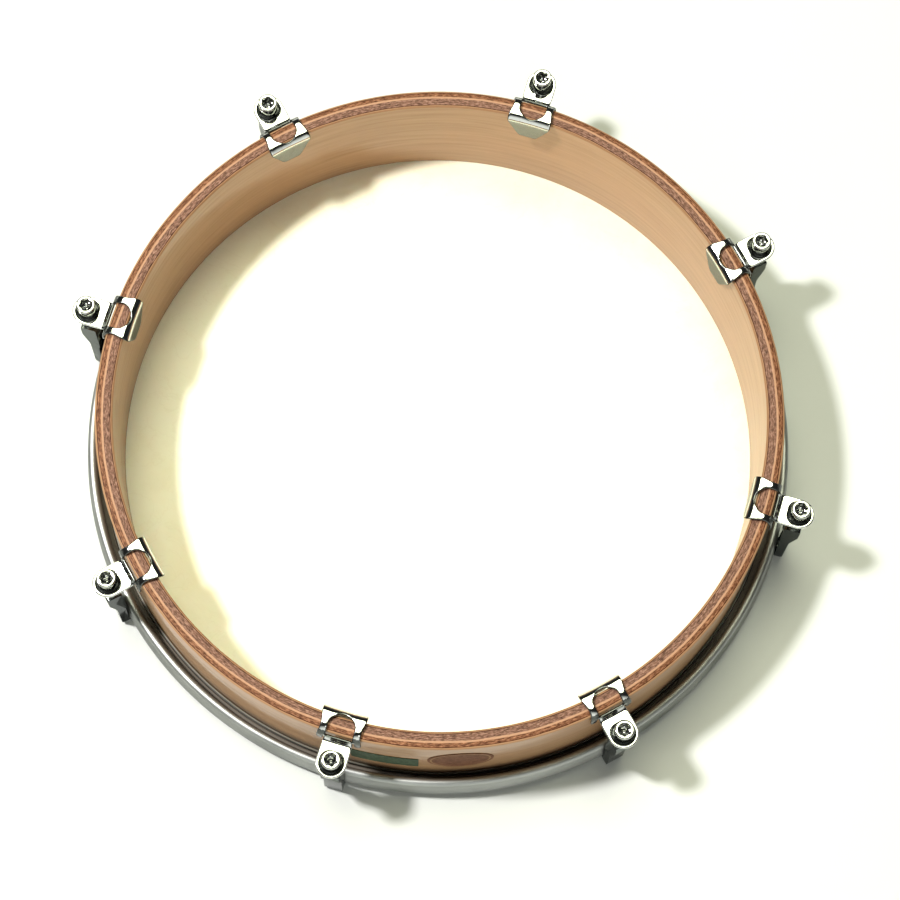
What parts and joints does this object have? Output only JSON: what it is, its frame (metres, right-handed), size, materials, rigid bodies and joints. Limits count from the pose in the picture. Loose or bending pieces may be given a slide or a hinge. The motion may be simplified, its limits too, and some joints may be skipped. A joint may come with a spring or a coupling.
{
  "type": "tunable frame drum",
  "caption": "Frame drum of the tambourine family, without jingles: skin head on a laminated wood shell, steel tension hoop, clip-on brackets with socket screws and claws.",
  "frame": {"origin": "centre of the playing face of the head", "axes": "+Z from the playing face to the open free edge; the blank badge is on the -Y side"},
  "size_m": [0.3332, 0.3332, 0.0684],
  "materials": {
    "shell_wood": "gloss lacquer over light veneer, darker ply edges",
    "skin": "natural translucent rawhide, satin",
    "flesh_wood": "plain",
    "hoop_steel": "satin polished steel",
    "bracket_chrome": "bright chrome plate on pressed steel",
    "screw_steel": "bright plated steel",
    "claw_steel": "bright plated steel",
    "badge_foil": "dark brown gloss sticker, blank",
    "label_foil": "dark green-grey gloss sticker, blank"
  },
  "bodies": {
    "root": {"shell": "shell_wood", "head_membrane": "skin", "round_badge": "badge_foil", "blank_label": "label_foil", "bracket_1": "bracket_chrome", "bracket_2": "bracket_chrome", "bracket_3": "bracket_chrome", "bracket_4": "bracket_chrome", "bracket_5": "bracket_chrome", "bracket_6": "bracket_chrome", "bracket_7": "bracket_chrome", "bracket_8": "bracket_chrome"},
    "hoop": {"tension_hoop": "hoop_steel", "flesh_hoop": "flesh_wood", "claw_1": "claw_steel", "claw_2": "claw_steel", "claw_3": "claw_steel", "claw_4": "claw_steel", "claw_5": "claw_steel", "claw_6": "claw_steel", "claw_7": "claw_steel", "claw_8": "claw_steel"},
    "screw_1": {"tension_screw_1": "screw_steel"},
    "screw_2": {"tension_screw_2": "screw_steel"},
    "screw_3": {"tension_screw_3": "screw_steel"},
    "screw_4": {"tension_screw_4": "screw_steel"},
    "screw_5": {"tension_screw_5": "screw_steel"},
    "screw_6": {"tension_screw_6": "screw_steel"},
    "screw_7": {"tension_screw_7": "screw_steel"},
    "screw_8": {"tension_screw_8": "screw_steel"}
  },
  "joints": [
    {"name": "hoop_travel", "type": "slide", "parent": "root", "child": "hoop", "axis": [0, 0, 1], "range_m": [-0.0012, 0.0016]},
    {"name": "screw_1_turn", "type": "hinge", "parent": "root", "child": "screw_1", "pos_m": [0.14002, 0.08614, 0.06], "axis": [0, 0, 1], "range_deg": [-720, 540]},
    {"name": "screw_2_turn", "type": "hinge", "parent": "root", "child": "screw_2", "pos_m": [0.0381, 0.15992, 0.06], "axis": [0, 0, 1], "range_deg": [-720, 540]},
    {"name": "screw_3_turn", "type": "hinge", "parent": "root", "child": "screw_3", "pos_m": [-0.08614, 0.14002, 0.06], "axis": [0, 0, 1], "range_deg": [-720, 540]},
    {"name": "screw_4_turn", "type": "hinge", "parent": "root", "child": "screw_4", "pos_m": [-0.15992, 0.0381, 0.06], "axis": [0, 0, 1], "range_deg": [-720, 540]},
    {"name": "screw_5_turn", "type": "hinge", "parent": "root", "child": "screw_5", "pos_m": [-0.14002, -0.08614, 0.06], "axis": [0, 0, 1], "range_deg": [-720, 540]},
    {"name": "screw_6_turn", "type": "hinge", "parent": "root", "child": "screw_6", "pos_m": [-0.0381, -0.15992, 0.06], "axis": [0, 0, 1], "range_deg": [-720, 540]},
    {"name": "screw_7_turn", "type": "hinge", "parent": "root", "child": "screw_7", "pos_m": [0.08614, -0.14002, 0.06], "axis": [0, 0, 1], "range_deg": [-720, 540]},
    {"name": "screw_8_turn", "type": "hinge", "parent": "root", "child": "screw_8", "pos_m": [0.15992, -0.0381, 0.06], "axis": [0, 0, 1], "range_deg": [-720, 540]}
  ],
  "couplings": [
    {"joint": "screw_1_turn", "follows": "hoop_travel", "rad_per_m": -7854},
    {"joint": "screw_2_turn", "follows": "hoop_travel", "rad_per_m": -7854},
    {"joint": "screw_3_turn", "follows": "hoop_travel", "rad_per_m": -7854},
    {"joint": "screw_4_turn", "follows": "hoop_travel", "rad_per_m": -7854},
    {"joint": "screw_5_turn", "follows": "hoop_travel", "rad_per_m": -7854},
    {"joint": "screw_6_turn", "follows": "hoop_travel", "rad_per_m": -7854},
    {"joint": "screw_7_turn", "follows": "hoop_travel", "rad_per_m": -7854},
    {"joint": "screw_8_turn", "follows": "hoop_travel", "rad_per_m": -7854}
  ]
}
